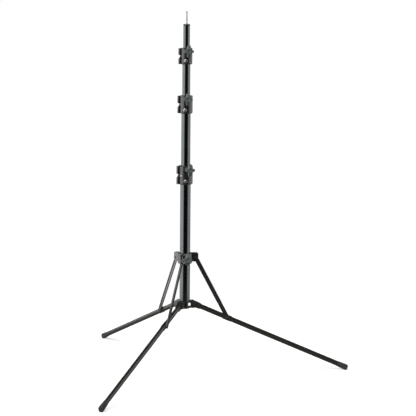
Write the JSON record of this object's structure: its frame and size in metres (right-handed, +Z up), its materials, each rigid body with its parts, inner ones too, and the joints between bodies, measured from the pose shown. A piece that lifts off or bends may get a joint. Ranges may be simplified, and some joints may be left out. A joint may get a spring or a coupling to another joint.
{
  "type": "telescopic lighting stand",
  "caption": "Black telescopic lighting stand: nested column tubes with knob-clamped collars, folding braced tripod legs on rubber feet and a slim steel spigot on top.",
  "frame": {"origin": "the point of the floor under the column's axis", "axes": "+Z up along the column towards the spigot; +X along the right leg"},
  "size_m": [0.7877, 0.9094, 1.124],
  "materials": {
    "black_anodised_tube": "glossy black anodised drawn tube",
    "black_casting": "satin black powder-coated casting",
    "grey_knob": "dark grey moulded plastic",
    "leg_paint": "satin olive-black painted leg",
    "strut_paint": "satin black painted pressed steel",
    "foot_rubber": "matt dark rubber",
    "bright_screw": "bright plated steel",
    "dark_rivet": "blackened steel rivet",
    "spigot_steel": "turned bright steel",
    "nylon": "black nylon bearing plastic",
    "brass_insert": "turned brass"
  },
  "bodies": {
    "root": {"column_tube": "black_anodised_tube", "base_hub": "black_casting", "leg_pivot_pins": "dark_rivet", "hub_cross_pin": "dark_rivet", "lower_collar_body": "black_casting", "lower_collar_bush": "nylon", "lower_collar_screws": "bright_screw", "lower_collar_insert": "brass_insert"},
    "leg_right": {"right_leg_root": "leg_paint", "right_leg_tube": "leg_paint", "right_leg_saddle": "strut_paint", "right_leg_foot": "foot_rubber"},
    "strut_right": {"right_strut_bar": "strut_paint", "right_strut_rivets": "dark_rivet"},
    "leg_rear": {"rear_leg_root": "leg_paint", "rear_leg_tube": "leg_paint", "rear_leg_saddle": "strut_paint", "rear_leg_foot": "foot_rubber"},
    "strut_rear": {"rear_strut_bar": "strut_paint", "rear_strut_rivets": "dark_rivet"},
    "leg_front": {"front_leg_root": "leg_paint", "front_leg_tube": "leg_paint", "front_leg_saddle": "strut_paint", "front_leg_foot": "foot_rubber"},
    "strut_front": {"front_strut_bar": "strut_paint", "front_strut_rivets": "dark_rivet"},
    "leg_collar": {"leg_collar_body": "black_casting", "leg_collar_bush": "nylon", "leg_collar_rivets": "dark_rivet", "leg_collar_insert": "brass_insert"},
    "lower_glide": {"lower_riser_glide": "nylon"},
    "lower_riser": {"lower_riser_tube": "black_anodised_tube", "middle_collar_body": "black_casting", "middle_collar_bush": "nylon", "middle_collar_screws": "bright_screw", "middle_collar_insert": "brass_insert"},
    "middle_glide": {"middle_riser_glide": "nylon"},
    "middle_riser": {"middle_riser_tube": "black_anodised_tube", "upper_collar_body": "black_casting", "upper_collar_bush": "nylon", "upper_collar_screws": "bright_screw", "upper_collar_insert": "brass_insert"},
    "upper_glide": {"upper_riser_glide": "nylon"},
    "upper_riser": {"upper_riser_tube": "black_anodised_tube", "top_cap": "nylon", "spigot_pin": "spigot_steel", "spigot_nut": "spigot_steel"},
    "lower_pad": {"lower_collar_pad": "nylon"},
    "lower_knob": {"lower_collar_knob": "grey_knob", "lower_collar_stud": "spigot_steel"},
    "middle_pad": {"middle_collar_pad": "nylon"},
    "middle_knob": {"middle_collar_knob": "grey_knob", "middle_collar_stud": "spigot_steel"},
    "upper_pad": {"upper_collar_pad": "nylon"},
    "upper_knob": {"upper_collar_knob": "grey_knob", "upper_collar_stud": "spigot_steel"},
    "leg_pad": {"leg_collar_pad": "nylon"},
    "leg_knob": {"leg_collar_knob": "grey_knob", "leg_collar_stud": "spigot_steel"}
  },
  "joints": [
    {"name": "right_leg_fold", "type": "hinge", "parent": "root", "child": "leg_right", "pos_m": [0.029, 0, 0.217], "axis": [0, -1, 0], "range_deg": [0, 108.2]},
    {"name": "right_strut_swing", "type": "hinge", "parent": "leg_right", "child": "strut_right", "pos_m": [0.1347, 0, 0.1717], "axis": [0, -1, 0], "range_deg": [-135.03, 0]},
    {"name": "rear_leg_fold", "type": "hinge", "parent": "root", "child": "leg_rear", "pos_m": [-0.0145, 0.02511, 0.217], "axis": [0.866, 0.5, 0], "range_deg": [0, 108.2]},
    {"name": "rear_strut_swing", "type": "hinge", "parent": "leg_rear", "child": "strut_rear", "pos_m": [-0.06735, 0.11665, 0.1717], "axis": [0.866, 0.5, 0], "range_deg": [-135.03, 0]},
    {"name": "front_leg_fold", "type": "hinge", "parent": "root", "child": "leg_front", "pos_m": [-0.0145, -0.02511, 0.217], "axis": [-0.866, 0.5, 0], "range_deg": [0, 108.2]},
    {"name": "front_strut_swing", "type": "hinge", "parent": "leg_front", "child": "strut_front", "pos_m": [-0.06735, -0.11665, 0.1717], "axis": [-0.866, 0.5, 0], "range_deg": [-135.03, 0]},
    {"name": "leg_collar_slide", "type": "slide", "parent": "root", "child": "leg_collar", "axis": [0, 0, 1], "range_m": [0, 0.18469]},
    {"name": "lower_riser_slide", "type": "slide", "parent": "root", "child": "lower_glide", "axis": [0, 0, 1], "range_m": [-0.16, 0.1965]},
    {"name": "lower_riser_swivel", "type": "hinge", "parent": "lower_glide", "child": "lower_riser", "pos_m": [0, 0, 0.42], "axis": [0, 0, 1], "continuous": true},
    {"name": "middle_riser_slide", "type": "slide", "parent": "lower_riser", "child": "middle_glide", "axis": [0, 0, 1], "range_m": [-0.094, 0.3005]},
    {"name": "middle_riser_swivel", "type": "hinge", "parent": "middle_glide", "child": "middle_riser", "pos_m": [0, 0, 0.535], "axis": [0, 0, 1], "continuous": true},
    {"name": "upper_riser_slide", "type": "slide", "parent": "middle_riser", "child": "upper_glide", "axis": [0, 0, 1], "range_m": [-0.06, 0.3695]},
    {"name": "upper_riser_swivel", "type": "hinge", "parent": "upper_glide", "child": "upper_riser", "pos_m": [0, 0, 0.616], "axis": [0, 0, 1], "continuous": true},
    {"name": "lower_pad_travel", "type": "slide", "parent": "root", "child": "lower_pad", "axis": [0.2334, -0.9724, 0], "range_m": [0, 0.00125]},
    {"name": "lower_knob_turn", "type": "hinge", "parent": "lower_pad", "child": "lower_knob", "pos_m": [0.0084, -0.03501, 0.6425], "axis": [0.2334, -0.9724, 0], "range_deg": [0, 360.4]},
    {"name": "middle_pad_travel", "type": "slide", "parent": "lower_riser", "child": "middle_pad", "axis": [0.0698, -0.9976, 0], "range_m": [0, 0.00125]},
    {"name": "middle_knob_turn", "type": "hinge", "parent": "middle_pad", "child": "middle_knob", "pos_m": [0.00237, -0.03392, 0.8585], "axis": [0.0698, -0.9976, 0], "range_deg": [0, 360.4]},
    {"name": "upper_pad_travel", "type": "slide", "parent": "middle_riser", "child": "upper_pad", "axis": [0.1219, -0.9925, 0], "range_m": [0, 0.00125]},
    {"name": "upper_knob_turn", "type": "hinge", "parent": "upper_pad", "child": "upper_knob", "pos_m": [0.0039, -0.03176, 1.0035], "axis": [0.1219, -0.9925, 0], "range_deg": [0, 360.4]},
    {"name": "leg_pad_travel", "type": "slide", "parent": "leg_collar", "child": "leg_pad", "axis": [0.1219, -0.9925, 0], "range_m": [0, 0.00125]},
    {"name": "leg_knob_turn", "type": "hinge", "parent": "leg_pad", "child": "leg_knob", "pos_m": [0.00439, -0.03573, 0.365], "axis": [0.1219, -0.9925, 0], "range_deg": [0, 360.4]}
  ],
  "couplings": [
    {"joint": "right_strut_swing", "follows": "right_leg_fold", "ratio": -1.2479},
    {"joint": "rear_leg_fold", "follows": "right_leg_fold", "ratio": 1},
    {"joint": "rear_strut_swing", "follows": "right_leg_fold", "ratio": -1.2479},
    {"joint": "front_leg_fold", "follows": "right_leg_fold", "ratio": 1},
    {"joint": "front_strut_swing", "follows": "right_leg_fold", "ratio": -1.2479},
    {"joint": "leg_collar_slide", "follows": "right_leg_fold", "m_per_rad": 0.097749},
    {"joint": "lower_knob_turn", "follows": "lower_pad_travel", "rad_per_m": 5026.5},
    {"joint": "middle_knob_turn", "follows": "middle_pad_travel", "rad_per_m": 5026.5},
    {"joint": "upper_knob_turn", "follows": "upper_pad_travel", "rad_per_m": 5026.5},
    {"joint": "leg_knob_turn", "follows": "leg_pad_travel", "rad_per_m": 5026.5}
  ]
}
